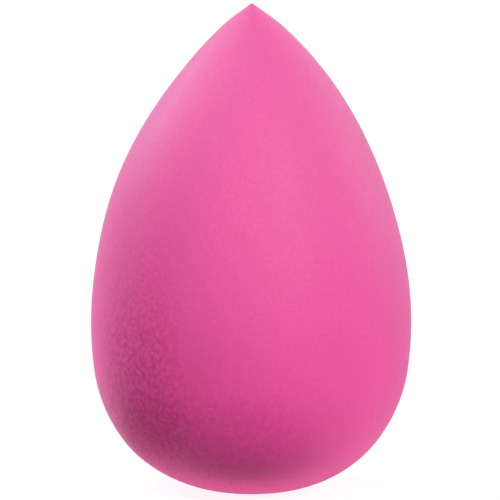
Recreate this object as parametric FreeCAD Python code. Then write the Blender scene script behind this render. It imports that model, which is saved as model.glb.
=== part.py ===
import FreeCAD, Part

import math
import os
from collections import namedtuple

# Makeup sponge: a teardrop of soft polyurethane foam that stands on its round end, tip up.
# It is moulded in one go. Foam that sets against the mould wall stays fine and dense, as a thin
# skin. Foam away from the wall grows coarse open cells, as a core that soaks up water and springs
# back. The two layers are one casting on the real sponge, and here they meet face to face.
# Millimetres. The origin is the middle of the face that it stands on, and +Z runs to the tip.

# Overall size, dry and standing
HEIGHT = 60.0           # rest face to tip
DIAMETER = 39.1         # across the widest section
WIDEST_HEIGHT = 20.6    # rest face to the widest section

# Base
DOME_RADIUS = 26.0      # curve of the shallow dome under the sponge
DOME_DIAMETER = 13.0    # across the dome, out to where the haunch bends up from it
REST_FACE_DEPTH = 0.5   # depth of the dome that is pressed flat where the sponge stands

# Layers
SKIN_THICKNESS = 0.5    # dense layer, even all round
CORE_TIP_RADIUS = 0.5   # point of the core, under the skin
TIP_RADIUS = CORE_TIP_RADIUS + SKIN_THICKNESS

# Drawing
CUT_OVERRUN = 1.0       # how far a cutting block runs past what it cuts
FULL_TURN = 360.0       # degrees
AXIS_FOOT = FreeCAD.Vector(0, 0, 0)
UP = FreeCAD.Vector(0, 0, 1)

# One arc of the half outline: its centre, in the XZ plane, and its radius
Bend = namedtuple("Bend", "centre radius")


def outline_point(radius, height):
    """Point at a radius from the axis and a height above the rest face."""
    return FreeCAD.Vector(radius, 0, height)


def nested_bend(lower, start, upper):
    """Bend that leaves a lower one at start, runs on smoothly and meets an upper one from inside."""
    inward = (lower.centre - start) / lower.radius
    offset = start - upper.centre
    radius = (upper.radius**2 - offset.dot(offset)) / (2 * (upper.radius + inward.dot(offset)))
    return Bend(start + inward * radius, radius)


def sponge_bends():
    """The four arcs of the sponge's outside, from base to tip, each running smoothly into the next."""
    half_width = DIAMETER / 2
    dome = Bend(outline_point(0, DOME_RADIUS - REST_FACE_DEPTH), DOME_RADIUS)
    tip = Bend(outline_point(0, HEIGHT - TIP_RADIUS), TIP_RADIUS)

    # The flank is upright at the widest section, and holds the tip's arc inside its own.
    rise = tip.centre.z - WIDEST_HEIGHT
    flank_radius = (half_width**2 + rise**2 - TIP_RADIUS**2) / (2 * (half_width - TIP_RADIUS))
    flank = Bend(outline_point(half_width - flank_radius, WIDEST_HEIGHT), flank_radius)

    # The haunch carries the dome's edge round into the flank.
    edge_radius = DOME_DIAMETER / 2
    edge_height = dome.centre.z - math.sqrt(DOME_RADIUS**2 - edge_radius**2)
    haunch = nested_bend(dome, outline_point(edge_radius, edge_height), flank)
    return [dome, haunch, flank, tip]


def meeting_point(one, other):
    """Point where two bends run into each other."""
    small, large = sorted((one, other), key=lambda bend: bend.radius)
    outward = small.centre - large.centre
    return large.centre + outward * (large.radius / outward.Length)


def bend_edge(bend, start, end):
    """Edge along a bend, the short way from start to end."""
    towards_middle = (start - bend.centre) + (end - bend.centre)
    middle = bend.centre + towards_middle * (bend.radius / towards_middle.Length)
    return Part.Arc(start, middle, end).toShape()


def teardrop(inset):
    """Solid teardrop that lies inside the sponge's surface by inset, its rest face included."""
    bends = [Bend(bend.centre, bend.radius - inset) for bend in sponge_bends()]
    bottom = bends[0].centre - UP * bends[0].radius
    top = bends[-1].centre + UP * bends[-1].radius
    meetings = [meeting_point(lower, upper) for lower, upper in zip(bends, bends[1:])]
    stops = [bottom] + meetings + [top]
    edges = [bend_edge(bend, start, end) for bend, start, end in zip(bends, stops, stops[1:])]
    edges.append(Part.makeLine(top, bottom))
    whole = Part.Face(Part.Wire(edges)).revolve(AXIS_FOOT, UP, FULL_TURN)

    block_depth = REST_FACE_DEPTH + CUT_OVERRUN
    block_corner = FreeCAD.Vector(-DIAMETER / 2, -DIAMETER / 2, inset - block_depth)
    block = Part.makeBox(DIAMETER, DIAMETER, block_depth, block_corner)
    return whole.cut(block).Solids[0]


def foam_core():
    """Open-cell foam that fills the skin."""
    return teardrop(SKIN_THICKNESS)


def foam_skin():
    """Fine, dense foam of even thickness, closed all round the core."""
    return teardrop(0).cut(foam_core()).Solids[0]


os.makedirs("parts", exist_ok=True)
for name, solid in (("foam_skin", foam_skin()), ("foam_core", foam_core())):
    solid.exportStep(f"parts/{name}.step")
    print(f"{name}: {solid.Volume:.0f} mm3, valid {solid.isValid()}, {len(solid.Shells)} shells")

for name, bend in zip(("dome", "haunch", "flank", "tip"), sponge_bends()):
    print(f"{name} bend: radius {bend.radius:.2f}, centre {bend.centre.x:.2f}, {bend.centre.z:.2f}")
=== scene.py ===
# %% [markdown]
# # A teardrop makeup sponge
#
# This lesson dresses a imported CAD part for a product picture. The object is a makeup sponge: one
# moulding of soft polyurethane foam, pink all through, that stands on its round end with the tip up.
# The foam sets in two layers, a fine dense skin against the mould and an open-celled core inside it.
#
# The CAD model comes in first, as a fixed frame in metres. Everything that follows is built to fit
# it, so the sizes below are read from its two solids wherever a solid can give them.

# %% Load the frame
import math

import bmesh
import bpy
import numpy as np
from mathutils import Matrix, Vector, noise


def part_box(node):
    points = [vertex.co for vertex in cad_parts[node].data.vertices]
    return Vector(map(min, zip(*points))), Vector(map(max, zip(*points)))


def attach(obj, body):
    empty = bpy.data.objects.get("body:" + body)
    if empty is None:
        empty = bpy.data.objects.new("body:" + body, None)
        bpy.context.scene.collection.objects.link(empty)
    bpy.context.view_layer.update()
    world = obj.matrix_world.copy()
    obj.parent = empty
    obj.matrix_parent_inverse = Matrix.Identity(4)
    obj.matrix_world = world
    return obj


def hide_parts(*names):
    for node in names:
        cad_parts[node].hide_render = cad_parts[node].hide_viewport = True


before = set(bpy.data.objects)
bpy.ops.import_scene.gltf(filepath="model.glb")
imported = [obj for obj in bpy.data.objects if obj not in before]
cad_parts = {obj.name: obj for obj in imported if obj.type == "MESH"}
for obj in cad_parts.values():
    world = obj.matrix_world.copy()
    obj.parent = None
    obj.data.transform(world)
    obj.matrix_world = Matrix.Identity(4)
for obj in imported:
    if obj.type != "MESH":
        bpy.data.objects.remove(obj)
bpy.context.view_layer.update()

MM = 0.001
skin_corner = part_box("foam_skin")[1]
core_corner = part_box("foam_core")[1]
sponge_height = skin_corner.z
half_width = skin_corner.x
skin_thickness = skin_corner.z - core_corner.z
print(f"sponge {sponge_height / MM:.2f} mm tall, {2 * half_width / MM:.2f} mm across, "
      f"skin {skin_thickness / MM:.2f} mm")

# %% [markdown]
# ## The outline
#
# A mould for such a sponge is turned on a lathe, so the half outline is a chain of arcs that run
# smoothly into each other: a shallow dome at the base, a haunch, a long flank and a small round tip.
#
# A convex chain like this has one handy property: each point of it has its own normal direction. So
# the outline is written as a function of the angle of its normal, from straight down to straight up.
# That gives each point together with the direction in which the foam's surface faces there, and a
# layer inside the skin is the same chain with every radius made smaller.

# %% Arcs of the outline
WIDEST_HEIGHT = 20.6 * MM
DOME_RADIUS = 26.0 * MM
DOME_DIAMETER = 13.0 * MM
REST_FACE_DEPTH = 0.5 * MM
TIP_RADIUS = 1.0 * MM
STRAIGHT_UP = math.pi / 2


def outline_arcs():
    """Centres (radius, height) and radii of the arcs from base to tip, and the normals where they meet."""
    dome = np.array([0, DOME_RADIUS - REST_FACE_DEPTH])
    tip = np.array([0, sponge_height - TIP_RADIUS])

    # The flank stands upright at the widest section and holds the tip's arc inside its own.
    rise = tip[1] - WIDEST_HEIGHT
    flank_radius = (half_width**2 + rise**2 - TIP_RADIUS**2) / (2 * (half_width - TIP_RADIUS))
    flank = np.array([half_width - flank_radius, WIDEST_HEIGHT])

    # The haunch leaves the dome at its edge and meets the flank from inside.
    edge_normal = math.asin(DOME_DIAMETER / 2 / DOME_RADIUS) - STRAIGHT_UP
    outward = np.array([math.cos(edge_normal), math.sin(edge_normal)])
    offset = dome + DOME_RADIUS * outward - flank
    haunch_radius = (flank_radius**2 - offset @ offset) / (2 * (flank_radius - outward @ offset))
    haunch = dome + (DOME_RADIUS - haunch_radius) * outward

    meetings = [edge_normal] + [math.atan2(*(arc - flank)[::-1]) for arc in (haunch, tip)]
    radii = np.array([DOME_RADIUS, haunch_radius, flank_radius, TIP_RADIUS])
    return np.array([dome, haunch, flank, tip]), radii, meetings


arc_centres, arc_radii, arc_meetings = outline_arcs()
print("arc radii, mm:", np.round(arc_radii / MM, 2))
print("arcs meet where the normal's angle is", np.round(np.degrees(arc_meetings), 1), "degrees")

# %% Point of the outline for each normal
def outline(normal_angle, inset=0.0):
    """Radius and height of the points whose outward normals have these angles above level."""
    arc = np.searchsorted(arc_meetings, normal_angle)
    reach = arc_radii[arc] - inset
    return (arc_centres[arc, 0] + reach * np.cos(normal_angle),
            arc_centres[arc, 1] + reach * np.sin(normal_angle))


belly_radius, belly_height = outline(np.array([0.0]))
print(f"the surface is upright {belly_height[0] / MM:.1f} mm up, {belly_radius[0] / MM:.2f} mm from the axis")

# %% [markdown]
# ## An even net of points
#
# A lathe's own net of rings and spokes bunches its points at the tip and stretches them at the belly,
# and foam cells drawn on it would do the same. A cube is better: it is cut into squares, blown up
# into a ball, and the ball's heights are then moved so that equal areas of the ball land on equal
# areas of the teardrop. Every square comes out about the same size, at the tip, belly and base.

# %% Cube cut into squares
def cube_net(squares):
    """Corners of a cube from -1 to 1 with its sides cut into squares, and the squares' corner numbers."""
    bm = bmesh.new()
    bmesh.ops.create_cube(bm, size=2.0)
    bmesh.ops.subdivide_edges(bm, edges=bm.edges[:], cuts=squares - 1, use_grid_fill=True)
    corners = np.array([corner.co for corner in bm.verts])
    faces = np.array([[corner.index for corner in face.verts] for face in bm.faces])
    bm.free()
    return corners, faces


COARSE = 12                      # squares along a side of a trial net, which is only measured
print(f"a cube {COARSE} squares wide has {len(cube_net(COARSE)[1])} squares")

# %% Net laid on the teardrop
OUTLINE_STEPS = 40000


def teardrop_net(squares, inset=0.0):
    """A net on the teardrop that lies inset under its surface: cube corners, faces, points and normals."""
    # The tangent keeps the squares even over the ball.
    corners, faces = cube_net(squares)
    ball = np.tan(corners * math.pi / 4)
    ball /= np.linalg.norm(ball, axis=1, keepdims=True)

    # A ball's area grows evenly with height, so a height on it is a share of the teardrop's area.
    normal_angle = np.linspace(STRAIGHT_UP, -STRAIGHT_UP, OUTLINE_STEPS)
    radius, height = outline(normal_angle, inset)
    band = np.hypot(np.diff(radius), np.diff(height)) * (radius[1:] + radius[:-1])
    area = np.concatenate([[0], np.cumsum(band)])
    normal_angle = np.interp((1 - ball[:, 2]) / 2, area / area[-1], normal_angle)

    radius, height = outline(normal_angle, inset)
    turn = np.arctan2(ball[:, 1], ball[:, 0])
    points = np.column_stack([radius * np.cos(turn), radius * np.sin(turn), height])
    level = np.cos(normal_angle)
    normals = np.column_stack([level * np.cos(turn), level * np.sin(turn), np.sin(normal_angle)])
    return corners, faces, points, normals


_, coarse_faces, coarse_points, _ = teardrop_net(COARSE)
near_corners = coarse_points[coarse_faces[:, 1]]
far_corners = coarse_points[coarse_faces[:, 3]]
diagonals = np.linalg.norm(far_corners - near_corners, axis=1)
print(f"diagonals of the coarse net's squares: {diagonals.min() / MM:.1f} to {diagonals.max() / MM:.1f} mm")

# %% [markdown]
# ## A soft form
#
# A real sponge isn't the perfect turned form. The soft foam stands a little fuller than its mould,
# most of all at the tip, the belly and the haunch. Its axis wanders by a fifth of a millimetre, and
# its sides are faintly uneven. All of this could be sculpted by hand, but points that are moved by a
# formula can be moved again with other values, so each soft wave is written as a height, a size and
# a span. Blender's noise functions give the same unevenness on every run.

# %% Fullness, wandering axis and unevenness
LEANS = ((53.0, 0.23, 5.0), (37.0, -0.12, 5.0), (5.0, -0.05, 4.0))  # height, shift to the right, span, mm
BULGES = ((57.5, 0.11, 2.8), (20.5, 0.11, 5.0), (3.5, 0.26, 2.6))  # height, shift outwards, span, mm
FULLNESS = 0.04 * MM
SWELL_LENGTH = 16.0 * MM
SWELL_DEPTH = 0.05 * MM


def by_height(points, waves):
    """Sum of soft waves along the sponge, each with its middle height, its size and its span."""
    height = points[:, 2] / MM
    return MM * sum(size * np.exp(-((height - middle) / span)**2 / 2) for middle, size, span in waves)


def leaned(points):
    """Points moved sideways with the wandering axis."""
    return points + np.column_stack([by_height(points, LEANS), np.zeros((len(points), 2))])


def filled(points, normals):
    """Points moved out from the axis to where the soft foam stands."""
    out = FULLNESS + by_height(points, BULGES)
    return points + normals * np.column_stack([out, out, np.zeros(len(points))])


def swell(points):
    """How far the surface stands out of or in from the turned form."""
    return SWELL_DEPTH * np.array([noise.noise(Vector(point / SWELL_LENGTH)) for point in points])


sideways = by_height(coarse_points, LEANS)
outwards = by_height(coarse_points, BULGES) + FULLNESS
print(f"axis wanders from {sideways.min() / MM:.2f} to {sideways.max() / MM:.2f} mm, "
      f"foam stands up to {outwards.max() / MM:.2f} mm fuller")

# %% [markdown]
# ## Open cells on the shaded sides, with painted shade
#
# Open cells are made on the sides that face away from the key light: the left of the belly, seen
# from the front, and a weaker band low down. The rest is almost closed. A value from 0 to 1 says how
# open the skin is, worked out from the way that the surface faces. It drives the depth of the dimples
# here, and the finish reads it later to darken the open cells, which is painted shade, so shape and
# colour agree. Bump in a material could only hint at the dimples, so they are moved into the mesh.

# %% Openness of the skin, which also masks painted shade
LEAST_OPEN = 0.12                # openness of the closed skin
LOW_SHARE = 0.5                  # openness of the band low down
LEFT_RAMP = (0.3, 0.65)          # each ramp runs over how far the surface faces left, forward or down
RIM_RAMP = (0.97, 0.8)
FRONT_RAMP = (0.0, 0.4)
BELLY_RAMP = (-0.35, 0.12)
LOW_RAMP = (-0.1, 0.35)
NOT_RIGHT_RAMP = (-0.6, 0.0)


def eased(values, start, end):
    """Soft step from 0 at start to 1 at end."""
    rise = np.clip((values - start) / (end - start), 0, 1)
    return rise**2 * (3 - 2 * rise)


def openness_and_shade(normals):
    """How open the skin's cells are, from 0 to 1, by the way that its surface faces; it also masks painted
    shade.
    """
    to_left, to_front, to_floor = -normals.T
    left = eased(to_left, *LEFT_RAMP) * eased(to_left, *RIM_RAMP) * eased(to_front, *FRONT_RAMP)
    belly = left * eased(to_floor, *BELLY_RAMP)
    low = eased(to_floor, *LOW_RAMP) * eased(to_left, *NOT_RIGHT_RAMP)
    return np.clip(belly + LOW_SHARE * low, LEAST_OPEN, 1)


sides = {"front": (0, -1, 0), "front left": (-0.7, -0.7, 0), "back": (0, 1, 0), "underside": (0, 0, -1)}
print("openness:", dict(zip(sides, openness_and_shade(np.array(list(sides.values()))).round(2).tolist())))

# %% Dimples of the cells
DIMPLE_PITCH = 0.9 * MM
DIMPLE_REACH = 0.7               # share of the pitch at which a dimple ends
CLOSED_DEPTH = 0.013 * MM
OPEN_DEPTH = 0.045 * MM


def dimples(points, pitch, depth):
    """Rounded dents, one for each foam cell near the surface."""
    away = np.array([noise.voronoi(Vector(point / pitch))[0][0] for point in points])
    return depth * (eased(away, 0, DIMPLE_REACH) - 1)


print(f"dimples {DIMPLE_PITCH / MM} mm apart, {CLOSED_DEPTH / MM} to {OPEN_DEPTH / MM} mm deep")

# %% [markdown]
# ## Tip and base
#
# The mould ends in a fine point, so the tip is a small cone within the CAD model's rounded one. The
# base gives way under the sponge's own weight. A plane cut would leave a hard edge there, so heights
# near the floor are eased up to it instead, which leaves a flat patch with a soft edge.

# %% Fine point and pressed base
TIP_SLOPE = 1.38                 # radius gained for each length below the point
TIP_OVERRUN = 0.03 * MM
TIP_BEND = 40                    # how sharply the flank bends into the point
PRESS_SOFTNESS = 0.12 * MM


def pointed(points):
    """Points drawn in to the fine point that the mould leaves at the tip, with a soft bend into it."""
    radius = np.hypot(points[:, 0], points[:, 1])
    limit = TIP_SLOPE * (sponge_height + TIP_OVERRUN - points[:, 2])
    share = (1 + (radius / limit)**TIP_BEND)**(-1 / TIP_BEND)
    return points * np.column_stack([share, share, np.ones(len(points))])


def pressed(points, level):
    """Points pressed up softly off a floor at that level."""
    over = points[:, 2] - level
    height = (over + np.hypot(over, PRESS_SOFTNESS)) / 2
    return np.column_stack([points[:, :2], level + height - height.min()])


print(f"the point is a cone of {2 * math.degrees(math.atan(TIP_SLOPE)):.0f} degrees")

# %% [markdown]
# ## The skin and the core
#
# The skin is a closed shell: a fine net outside and a coarse net inside, turned to face the core. The
# core is the foam within. Both are whole pieces, because a part in a library may be cut open or
# squeezed later. Each side of the cube is its own square on the UV map, so the finish can be stored
# as a picture with hardly any stretch. The inner face gets the smaller squares.

# %% One face of a foam layer
def foam_surface(squares, inset, pitch, depths):
    """Cube corners, faces, points and openness, which also masks painted shade, of one face of a layer, with
    closed and open dimple depths.
    """
    corners, faces, points, normals = teardrop_net(squares, inset)
    open_and_shaded = openness_and_shade(normals)
    closed_depth, open_depth = depths
    out = swell(points) + dimples(points, pitch, closed_depth + (open_depth - closed_depth) * open_and_shaded)
    moved = pointed(filled(points, normals)) + normals * out[:, None]
    return corners, faces, pressed(leaned(moved), inset), open_and_shaded


coarse_points = foam_surface(COARSE, 0.0, DIMPLE_PITCH, (CLOSED_DEPTH, OPEN_DEPTH))[2]
print("coarse face from", (coarse_points.min(axis=0) / MM).round(2), "to",
      (coarse_points.max(axis=0) / MM).round(2), "mm")

# %% Squares of the UV map
OUTER_UV = (1 / 3, 3, 0.0)       # width of a square, squares in a row, height of the first row
INNER_UV = (1 / 6, 6, 2 / 3)
UV_MARGIN = 0.02                 # share of a square, left free along each side


def uv_squares(corners, faces, plan):
    """UV places of the faces' corners, with each side of the cube in its own square."""
    width, columns, first_row = plan
    rows = np.arange(len(faces))
    face_corners = corners[faces]
    middles = face_corners.mean(axis=1)
    axis = np.abs(middles).argmax(axis=1)
    side = 2 * axis + (middles[rows, axis] > 0)
    flat = np.stack([face_corners[rows, :, (axis + step) % 3] for step in (1, 2)], axis=-1)
    place = (flat + 1) / 2 * (1 - 2 * UV_MARGIN) + UV_MARGIN
    start = np.stack([side % columns * width, first_row + side // columns * width], axis=-1)
    return start[:, None, :] + place * width


CUBE_SIDES = 6
print(f"the UV squares take {CUBE_SIDES * (OUTER_UV[0]**2 + INNER_UV[0]**2):.0%} of the map")

# %% Mesh of a foam piece
def foam_piece(name, surfaces):
    """Object of nets (corners, faces, points, openness that also masks painted shade, UV plan, facing out or
    in), smooth all over.
    """
    points, faces, places, shaded_openness = [], [], [], []
    first = 0
    for corners, squares, net_points, open_and_shaded, plan, outward in surfaces:
        turned = squares if outward else squares[:, ::-1]
        points.append(net_points)
        faces.append(turned + first)
        places.append(uv_squares(corners, turned, plan))
        shaded_openness.append(open_and_shaded)
        first += len(net_points)
    mesh = bpy.data.meshes.new(name)
    mesh.from_pydata(np.concatenate(points).tolist(), [], np.concatenate(faces).tolist())
    mesh.uv_layers.new(name="OFBake").uv.foreach_set("vector", np.concatenate(places).ravel())
    mesh.attributes.new("openness_and_shade", "FLOAT", "POINT").data.foreach_set("value", np.concatenate(shaded_openness))
    mesh.shade_smooth()
    piece = bpy.data.objects.new(name, mesh)
    bpy.context.collection.objects.link(piece)
    print(name, "has", len(mesh.polygons), "squares")
    return piece


# %% Build the two layers
SKIN_SQUARES = 120
LINING_SQUARES = 44
CORE_SQUARES = 60
LAYER_CLEARANCE = 0.02 * MM
CORE_CELL_PITCH = 1.6 * MM
CORE_CELL_DEPTH = 0.1 * MM

core_inset = skin_thickness + LAYER_CLEARANCE
outside = foam_surface(SKIN_SQUARES, 0.0, DIMPLE_PITCH, (CLOSED_DEPTH, OPEN_DEPTH))
lining = foam_surface(LINING_SQUARES, skin_thickness, DIMPLE_PITCH, (0.0, 0.0))
core_face = foam_surface(CORE_SQUARES, core_inset, CORE_CELL_PITCH, (CORE_CELL_DEPTH, CORE_CELL_DEPTH))

sponge_skin = foam_piece("sponge_skin", [(*outside, OUTER_UV, True), (*lining, INNER_UV, False)])
sponge_core = foam_piece("sponge_core", [(*core_face, OUTER_UV, True)])

# %% [markdown]
# ## In the frame
#
# Both pieces ride on the CAD model's one body and replace its two solids, which stay behind for the
# physics. No cloth is simulated: nothing is sewn or stuffed here, and the form is the mould's.

for piece, node in ((sponge_skin, "foam_skin"), (sponge_core, "foam_core")):
    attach(piece, "root")
    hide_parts(node)
    print(piece.name, "stands for", node)

# %% [markdown]
# ## Helpers for finishes
#
# Colours are written as sRGB hex values, as a colour picker shows them, and one function turns them
# to the linear values that Blender's sockets take. A second function adds a node: a plain value sets
# an input, and another node's output is linked to it.

# %% Colour and node helpers
WHITE = "#FFFFFF"
BLACK = "#000000"
FULL_BYTE = 255
TOE_END, TOE_SLOPE, CURVE_OFFSET, CURVE_POWER = 0.04045, 12.92, 0.055, 2.4  # the sRGB standard's curve


def linear(hex_colour):
    """Linear red, green, blue and alpha of an sRGB hex colour."""
    shares = np.array(list(bytes.fromhex(hex_colour[1:]))) / FULL_BYTE
    curved = ((shares + CURVE_OFFSET) / (1 + CURVE_OFFSET))**CURVE_POWER
    return [*np.where(shares <= TOE_END, shares / TOE_SLOPE, curved).tolist(), 1.0]


def add_node(tree, kind, inputs=None, **settings):
    """Adds a node, with its settings and with its inputs set or linked."""
    node = tree.nodes.new(kind)
    for name, value in settings.items():
        setattr(node, name, value)
    for socket, value in (inputs or {}).items():
        if isinstance(value, bpy.types.NodeSocket):
            tree.links.new(value, node.inputs[socket])
        else:
            node.inputs[socket].default_value = value
    return node


def new_material(name):
    """Empty material and its node tree."""
    material = bpy.data.materials.new(name)
    material.use_nodes = True
    material.node_tree.nodes.clear()
    return material, material.node_tree


print(f"half of the hex scale is {linear('#808080')[0]:.3f} in linear light")

# %% [markdown]
# ## Finish of the skin: moulded polyurethane foam
#
# Polyurethane foam is dyed through, and its skin sets against a smooth mould wall. The eye gets a
# strong even pink with no shine, a fine grain of pores, and a pale bloom towards the edges, where
# thin cell walls stand on end and scatter light.
#
# The dye comes first. Two pinks are mixed by height, paler at the tip and deeper at the base: the paler
# tip is painted sheen, for the pale veil that light from above lays on the top. A slow noise adds the
# faint cloudiness of mixed dye. One flat colour would be simpler, but it makes foam look like painted
# plastic.

# %% Dye of the skin
BASE_PINK = "#F53E99"
# Paler pink at the tip: painted sheen, for the veil of light from above.
TIP_PINK_PAINTED_SHEEN = "#EE5B9F"
CLOUD_LENGTH = 9.0 * MM
CLOUD_DETAIL = 2.0
CLOUD_SHADE = 0.985              # share of the dye's brightness where it is cloudiest
MIX_SHARE, MIX_FIRST, MIX_SECOND, MIX_RESULT = 0, 6, 7, 2  # places of the Mix node's colour sockets

skin_foam, tree = new_material("moulded_polyurethane_foam")
place = add_node(tree, "ShaderNodeTexCoord").outputs["Object"]
height = add_node(tree, "ShaderNodeSeparateXYZ", {"Vector": place})
risen = add_node(tree, "ShaderNodeMapRange", {"Value": height.outputs["Z"], "From Max": sponge_height})
# Two pinks mixed by height; the paler tip is painted sheen.
dye_and_tip_sheen = add_node(tree, "ShaderNodeMix", {
    MIX_SHARE: risen.outputs["Result"], MIX_FIRST: linear(BASE_PINK), MIX_SECOND: linear(TIP_PINK_PAINTED_SHEEN),
}, data_type="RGBA")
cloud = add_node(tree, "ShaderNodeTexNoise", {
    "Vector": place, "Scale": 1 / CLOUD_LENGTH, "Detail": CLOUD_DETAIL})
clouded = add_node(tree, "ShaderNodeMapRange", {"Value": cloud.outputs["Fac"], "To Min": CLOUD_SHADE})
print("dye from", BASE_PINK, "at the base to", TIP_PINK_PAINTED_SHEEN, "at the tip")

# %% [markdown]
# ### Open cells with painted shade
#
# An open cell is drawn as a small dark mouth, and its darkness is painted shade. Noise with soft
# limits draws the mouths, and the openness that is stored on the mesh, high on the sides that face
# away from the key light, says where they show. Real mouths are 0.2 to 0.3 mm wide. A pixel of the
# picture is 0.12 mm, so they are drawn at 0.55 mm, as coarse as they need to be to show.

# %% Open cells of the skin, darkened with painted shade
# Dark pink of the open cells: painted shade on the sides away from the key light.
SHADED_CELL_PINK = "#E13488"
CELL_PITCH = 0.55 * MM
CELL_DETAIL = 0.0
CELL_EDGES = (0.3, 0.7)          # noise values from cell wall to open mouth

cells = add_node(tree, "ShaderNodeTexNoise", {
    "Vector": place, "Scale": 1 / CELL_PITCH, "Detail": CELL_DETAIL})
mouth = add_node(tree, "ShaderNodeMapRange", {
    "Value": cells.outputs["Fac"], "From Min": CELL_EDGES[0], "From Max": CELL_EDGES[1]})
open_and_shaded = add_node(tree, "ShaderNodeAttribute", attribute_name="openness_and_shade")
shaded_openness = add_node(tree, "ShaderNodeMath", {
    0: mouth.outputs["Result"], 1: open_and_shaded.outputs["Fac"]}, operation="MULTIPLY")
# Open cells darkened towards the dark pink: painted shade.
shaded_cells = add_node(tree, "ShaderNodeMix", {
    MIX_SHARE: shaded_openness.outputs["Value"], MIX_FIRST: dye_and_tip_sheen.outputs[MIX_RESULT], MIX_SECOND: linear(SHADED_CELL_PINK),
}, data_type="RGBA")
print(f"open cells {CELL_PITCH / MM} mm wide, {SHADED_CELL_PINK} at their darkest")

# %% [markdown]
# ### Pores
#
# The closed skin still has pores, of 0.1 to 0.2 mm. They are a Voronoi pattern with wandering cell
# middles, so that no grid shows: each middle is a pit, lower and duller than the walls round it, and
# a little darker with painted shade. At their real size they would vanish, so they too are drawn coarser, at
# 0.35 mm.

# %% Pores of the skin
PORE_PITCH = 0.35 * MM
PORE_DEPTH = 0.002 * MM
PORE_WANDER = 0.25               # share of the pitch
PORE_WANDER_DETAIL = 1.0
PORE_SHADE = 0.97                # share of the dye's brightness in a pit: painted shade
WALL_EDGES = (0.1, 0.6)          # shares of the pitch from pit to wall

stray = add_node(tree, "ShaderNodeTexNoise", {
    "Vector": place, "Scale": 1 / PORE_PITCH, "Detail": PORE_WANDER_DETAIL})
strayed = add_node(tree, "ShaderNodeVectorMath", {
    0: stray.outputs["Color"], 1: (PORE_WANDER * PORE_PITCH,) * 3, 2: place}, operation="MULTIPLY_ADD")
pores = add_node(tree, "ShaderNodeTexVoronoi", {
    "Vector": strayed.outputs["Vector"], "Scale": 1 / PORE_PITCH})
wall = add_node(tree, "ShaderNodeMapRange", {
    "Value": pores.outputs["Distance"], "From Min": WALL_EDGES[0], "From Max": WALL_EDGES[1],
}, interpolation_type="SMOOTHSTEP")
# Pits a little darker than the walls: painted shade.
pit_shade = add_node(tree, "ShaderNodeMapRange", {"Value": wall.outputs["Result"], "To Min": PORE_SHADE})
shade = add_node(tree, "ShaderNodeMath", {
    0: clouded.outputs["Result"], 1: pit_shade.outputs["Result"]}, operation="MULTIPLY")
pit_shaded = add_node(tree, "ShaderNodeMix", {
    MIX_SHARE: shade.outputs["Value"], MIX_FIRST: linear(BLACK), MIX_SECOND: shaded_cells.outputs[MIX_RESULT],
}, data_type="RGBA")
relief = add_node(tree, "ShaderNodeBump", {"Height": wall.outputs["Result"], "Distance": PORE_DEPTH})
print(f"pores {PORE_PITCH / MM} mm apart, {PORE_DEPTH / MM} mm deep")

# %% [markdown]
# ### Surface
#
# Polyurethane has an index of refraction of 1.5. Foam is rough at every scale, so its gloss is only
# a soft veil: roughness is 0.7 in the pores and a little less on the walls. The bloom of the cell
# walls is the shader's sheen, faintly lilac, as a pale veil over strong pink looks. Gloss and bloom
# were both matched to the object.

# %% Shader of the skin
PIT_ROUGHNESS = 0.70
WALL_ROUGHNESS = 0.62
FOAM_IOR = 1.5
SKIN_GLOSS = 0.65
BLOOM = 0.14
BLOOM_ROUGHNESS = 0.5
BLOOM_TINT = "#F4ECFF"

dull = add_node(tree, "ShaderNodeMapRange", {
    "Value": wall.outputs["Result"], "To Min": PIT_ROUGHNESS, "To Max": WALL_ROUGHNESS})
foam = add_node(tree, "ShaderNodeBsdfPrincipled", {
    "Base Color": pit_shaded.outputs[MIX_RESULT],
    "Roughness": dull.outputs["Result"],
    "Normal": relief.outputs["Normal"],
    "IOR": FOAM_IOR,
    "Specular IOR Level": SKIN_GLOSS,
    "Sheen Weight": BLOOM,
    "Sheen Roughness": BLOOM_ROUGHNESS,
    "Sheen Tint": linear(BLOOM_TINT)})
add_node(tree, "ShaderNodeOutputMaterial", {"Surface": foam.outputs["BSDF"]})
sponge_skin.data.materials.append(skin_foam)
print(skin_foam.name, "has", len(tree.nodes), "nodes")

# %% [markdown]
# ## Finish of the core: open-celled polyurethane foam
#
# The core is the same dyed foam, which rose freely and left large open cells. Its paler pink is
# painted light, for the light that these cells let through, and it is quite dull. It is hidden, so its
# finish is the short form of the skin's: cell middles with painted shade, paler walls, one rough surface.

# %% Open-celled polyurethane foam core
# Darker cell middles are painted shade; the paler walls are painted light, for light through the cells.
CORE_MOUTH_SHADE = "#D0487F"
CORE_WALL = "#F069A6"
CORE_ROUGHNESS = 0.95
CORE_GLOSS = 0.3

core_foam, tree = new_material("open_cell_polyurethane_foam")
place = add_node(tree, "ShaderNodeTexCoord").outputs["Object"]
core_cells = add_node(tree, "ShaderNodeTexVoronoi", {"Vector": place, "Scale": 1 / CORE_CELL_PITCH})
cell_wall = add_node(tree, "ShaderNodeMapRange", {
    "Value": core_cells.outputs["Distance"], "From Min": WALL_EDGES[0], "From Max": WALL_EDGES[1],
}, interpolation_type="SMOOTHSTEP")
core_dye_and_shade = add_node(tree, "ShaderNodeMix", {
    MIX_SHARE: cell_wall.outputs["Result"], MIX_FIRST: linear(CORE_MOUTH_SHADE), MIX_SECOND: linear(CORE_WALL),
}, data_type="RGBA")
foam = add_node(tree, "ShaderNodeBsdfPrincipled", {
    "Base Color": core_dye_and_shade.outputs[MIX_RESULT],
    "Roughness": CORE_ROUGHNESS,
    "IOR": FOAM_IOR,
    "Specular IOR Level": CORE_GLOSS})
add_node(tree, "ShaderNodeOutputMaterial", {"Surface": foam.outputs["BSDF"]})
sponge_core.data.materials.append(core_foam)
print(core_foam.name, "has", len(tree.nodes), "nodes")

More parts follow.
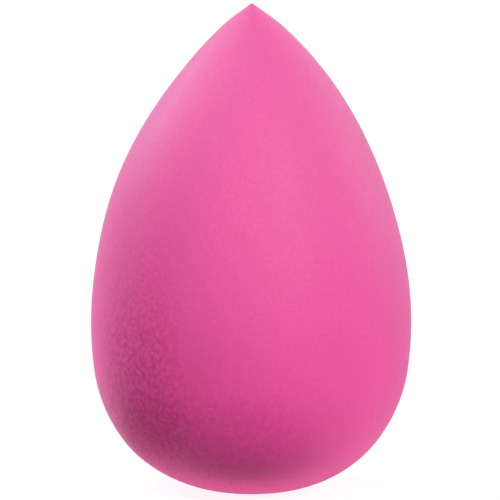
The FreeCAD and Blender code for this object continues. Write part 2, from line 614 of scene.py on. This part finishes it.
# %% [markdown]
# ## Floor and backdrop
#
# The picture is a product shot on plain white. To light a floor until a camera sees it as white, the
# lamps would have to bleach the sponge. So the floor is a large sheet of paper, grey in itself, and a
# Light Path node adds the white for camera rays and for rays through glass. Mirrored rays see it too,
# but it fades out close to the sponge, a painted shade in the foam's foot, since a white that bright
# would veil it. The lift is a little lower close by, a painted shadow round the foot over the real one.

# %% Floor sheet
FLOOR_SIZE = 6.0                 # metres

half = FLOOR_SIZE / 2
floor_corners = [(-half, -half, 0), (half, -half, 0), (half, half, 0), (-half, half, 0)]
floor_mesh = bpy.data.meshes.new("floor")
floor_mesh.from_pydata(floor_corners, [], [(0, 1, 2, 3)])
floor = bpy.data.objects.new("floor", floor_mesh)
bpy.context.collection.objects.link(floor)
print("floor", FLOOR_SIZE, "m wide")

# %% White paper
PAPER_GREY = "#7C7C7C"
# Lift close to the sponge, lower than far away: painted shadow round the foot.
NEAR_LIFT_PAINTED_SHADOW = 0.87
FAR_LIFT = 1.0
LIFT_REACH = 0.3                 # metres from the sponge to where the paper is white for all

paper, tree = new_material("white_paper_sweep")
seen = add_node(tree, "ShaderNodeLightPath")
straight = add_node(tree, "ShaderNodeMath", {
    0: seen.outputs["Is Camera Ray"], 1: seen.outputs["Is Transmission Ray"]}, operation="MAXIMUM")
white_ray = add_node(tree, "ShaderNodeMath", {
    0: straight.outputs["Value"], 1: seen.outputs["Is Glossy Ray"]}, operation="MAXIMUM")
# Lift lower close to the sponge: painted shadow on the paper, and painted shade in the foot's reflections.
near = add_node(tree, "ShaderNodeMath", {
    0: straight.outputs["Value"], 1: NEAR_LIFT_PAINTED_SHADOW}, operation="MULTIPLY")
place = add_node(tree, "ShaderNodeTexCoord").outputs["Object"]
away = add_node(tree, "ShaderNodeVectorMath", {0: place}, operation="LENGTH")
level = add_node(tree, "ShaderNodeMapRange", {
    "Value": away.outputs["Value"], "From Max": LIFT_REACH,
    "To Min": near.outputs["Value"], "To Max": FAR_LIFT,
}, interpolation_type="SMOOTHSTEP")
lift = add_node(tree, "ShaderNodeMath", {
    0: white_ray.outputs["Value"], 1: level.outputs["Result"]}, operation="MULTIPLY")
matt = add_node(tree, "ShaderNodeBsdfDiffuse", {"Color": linear(PAPER_GREY)})
white = add_node(tree, "ShaderNodeEmission", {"Color": linear(WHITE), "Strength": lift.outputs["Value"]})
both = add_node(tree, "ShaderNodeAddShader", {0: matt.outputs["BSDF"], 1: white.outputs["Emission"]})
add_node(tree, "ShaderNodeOutputMaterial", {"Surface": both.outputs["Shader"]})
floor_mesh.materials.append(paper)
print(f"paper lifted by {NEAR_LIFT_PAINTED_SHADOW} at the sponge and by {FAR_LIFT} from {LIFT_REACH} m on")

# %% [markdown]
# ## The world
#
# Past the floor's edge there is only the world. It is white to the camera, in mirrors and through
# glass, and gives no light of its own, so the lamps alone shape the sponge.

# %% White world
world = bpy.data.worlds.new("studio")
bpy.context.scene.world = world
world.use_nodes = True
tree = world.node_tree
tree.nodes.clear()
seen = add_node(tree, "ShaderNodeLightPath")
seen_or_mirrored = add_node(tree, "ShaderNodeMath", {
    0: seen.outputs["Is Camera Ray"], 1: seen.outputs["Is Glossy Ray"]}, operation="MAXIMUM")
white_ray = add_node(tree, "ShaderNodeMath", {
    0: seen_or_mirrored.outputs["Value"], 1: seen.outputs["Is Transmission Ray"]}, operation="MAXIMUM")
sky = add_node(tree, "ShaderNodeBackground", {"Color": linear(WHITE), "Strength": white_ray.outputs["Value"]})
add_node(tree, "ShaderNodeOutputWorld", {"Surface": sky.outputs["Background"]})
print("world", world.name, "has", len(tree.nodes), "nodes")

# %% [markdown]
# ## Lamps
#
# The shading on the sponge tells how it was lit: a broad sheet of light in front, a key light on the
# right, cool light over the left shoulder that draws the pale left edge, a weaker edge light on the
# right, and a weak light behind. A sun or a sky could not be shaped like that, so each is a soft box
# that faces the sponge's middle, placed by its bearing and height.

# %% Soft boxes
BOX_DISTANCE = 0.6               # metres from the sponge's middle
COOL = "#EEF3FF"
SKY_BLUE = "#E6F6FF"
FAINT_BLUE = "#F4FDFF"
SOFT_BOXES = {  # bearing and height in degrees, width in metres, watts, colour
    "front_sheet": (-7, 30, 0.75, 2.35, WHITE),
    "key": (37, 27.5, 0.12, 1.7, FAINT_BLUE),
    "left_edge": (-128, 27.5, 0.12, 1.5, COOL),
    "left_top": (-98.5, 57.5, 0.2, 1.25, SKY_BLUE),
    "right_edge": (117.5, 20, 0.12, 0.95, FAINT_BLUE),
    "back_fill": (165, 35, 0.5, 0.8, COOL),
}
sponge_middle = Vector((0, 0, sponge_height / 2))


def direction(azimuth, elevation):
    """Unit vector towards a bearing: azimuth 0 is the camera's side and 90 the right, in degrees."""
    turn = math.radians(azimuth)
    rise = math.radians(elevation)
    return Vector((math.sin(turn) * math.cos(rise), -math.cos(turn) * math.cos(rise), math.sin(rise)))


for name, (azimuth, elevation, width, watts, colour) in SOFT_BOXES.items():
    lamp = bpy.data.lights.new(name, "AREA")
    lamp.size = width
    lamp.energy = watts
    lamp.color = linear(colour)[:3]
    box = bpy.data.objects.new(name, lamp)
    towards_box = direction(azimuth, elevation)
    box.location = sponge_middle + towards_box * BOX_DISTANCE
    box.rotation_euler = towards_box.to_track_quat("Z", "Y").to_euler()
    box.visible_camera = False
    bpy.context.collection.objects.link(box)
    print(f"{name}: {watts} W, {width} m wide")

# %% [markdown]
# ### Light from the table
#
# White paper round the foot throws light back up, unevenly, as the sponge shades part of it. That
# light warms the sponge's lower edge and leaves the dark wedge at its lower left. Real bounced light
# would need the white floor that was left out above, so glowing patches of the table stand in for
# it: area lamps that lie on the floor, face up, and show neither to the camera nor in reflections.

# %% Glowing patches of the table
GLOW_HEIGHT = 0.2 * MM
TABLE_GLOWS = {  # middle to the right and to the back, width, depth, in mm, and radiance in W/m2/sr
    "glow_right": (35, -34, 43, 44, 0.78),
    "glow_foot": (19, -6, 69, 16, 0.82),
    "glow_left_back": (-95, 60, 120, 100, 0.6),
    "glow_left": (-52, 12, 60, 26, 2.4),
    "glow_back": (25, 40, 100, 76, 0.4),
    "glow_left_foot": (-18, 2, 13, 12, 1.2),
}

for name, (right, back, width, depth, radiance) in TABLE_GLOWS.items():
    lamp = bpy.data.lights.new(name, "AREA")
    lamp.shape = "RECTANGLE"
    lamp.size = width * MM
    lamp.size_y = depth * MM
    lamp.energy = radiance * math.pi * lamp.size * lamp.size_y
    patch = bpy.data.objects.new(name, lamp)
    patch.location = (right * MM, back * MM, GLOW_HEIGHT)
    patch.rotation_euler = (math.pi, 0, 0)
    patch.visible_camera = False
    patch.visible_glossy = False
    bpy.context.collection.objects.link(patch)
    print(f"{name}: {lamp.energy:.4f} W")

# %% [markdown]
# ## Camera
#
# The sponge's outline, hardly foreshortened, and the rounded line of its base say that it was seen
# from about 8 degrees above, through a long lens. The camera looks along +Y from the front, at the
# distance where the picture's height comes out right, and the sponge fills the frame.

# %% Camera
CAMERA_ELEVATION = 8.0           # degrees
LENS = 400.0                     # lens and sensor in millimetres, as Blender's cameras take them
SENSOR = 36.0
FRAME_HEIGHT = 61.38 * MM        # what the picture takes in, at the sponge's axis
AIM = Vector((-0.13, 0, 29.56)) * MM

camera_data = bpy.data.cameras.new("camera")
camera_data.lens = LENS
camera_data.sensor_width = SENSOR
camera = bpy.data.objects.new("camera", camera_data)
towards_camera = direction(0, CAMERA_ELEVATION)
camera_distance = FRAME_HEIGHT * LENS / SENSOR
camera.location = AIM + towards_camera * camera_distance
camera.rotation_euler = towards_camera.to_track_quat("Z", "Y").to_euler()
bpy.context.collection.objects.link(camera)
bpy.context.scene.camera = camera
bpy.context.scene.view_settings.view_transform = "Standard"
print(f"camera {camera_distance:.2f} m from the sponge")
